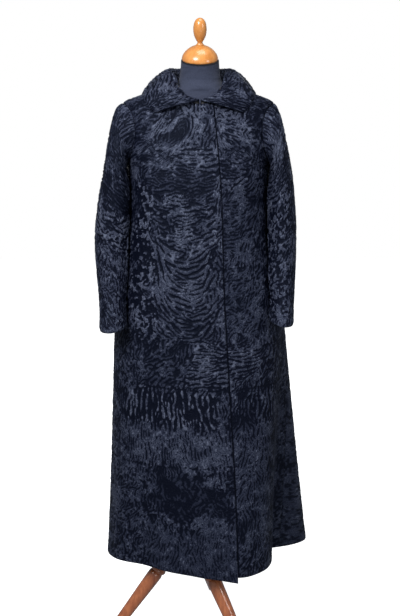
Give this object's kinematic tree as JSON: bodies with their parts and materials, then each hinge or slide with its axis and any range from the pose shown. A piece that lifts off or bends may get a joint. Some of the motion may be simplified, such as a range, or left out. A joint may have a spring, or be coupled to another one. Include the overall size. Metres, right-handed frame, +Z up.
{
  "type": "fur coat on a dress form",
  "caption": "Ankle-length dark curly lamb fur coat, open-necked with a rolled collar, set-in sleeves and a lapped front, on a limbless dress form with splayed turned wooden legs.",
  "frame": {"origin": "middle of the footprint, on the floor that the legs stand on", "axes": "+Z up, -Y towards what the coat's front faces, +X towards the wearer's left"},
  "size_m": [0.5971, 0.4331, 1.7188],
  "materials": {
    "fur": "flat glossy curls on pelt, lined",
    "jersey": "matt knitted cover",
    "honey_wood": "turned, satin varnish",
    "stained_wood": "turned, dark stain, gloss varnish"
  },
  "bodies": {
    "root": {"front_right": "fur", "front_left": "fur", "back": "fur", "sleeve_right": "fur", "sleeve_left": "fur", "collar": "fur", "form": "jersey", "neck_cap": "honey_wood", "finial": "honey_wood", "pole": "stained_wood", "hub": "stained_wood", "leg_1": "stained_wood", "leg_2": "stained_wood", "leg_3": "stained_wood"}
  },
  "joints": []
}
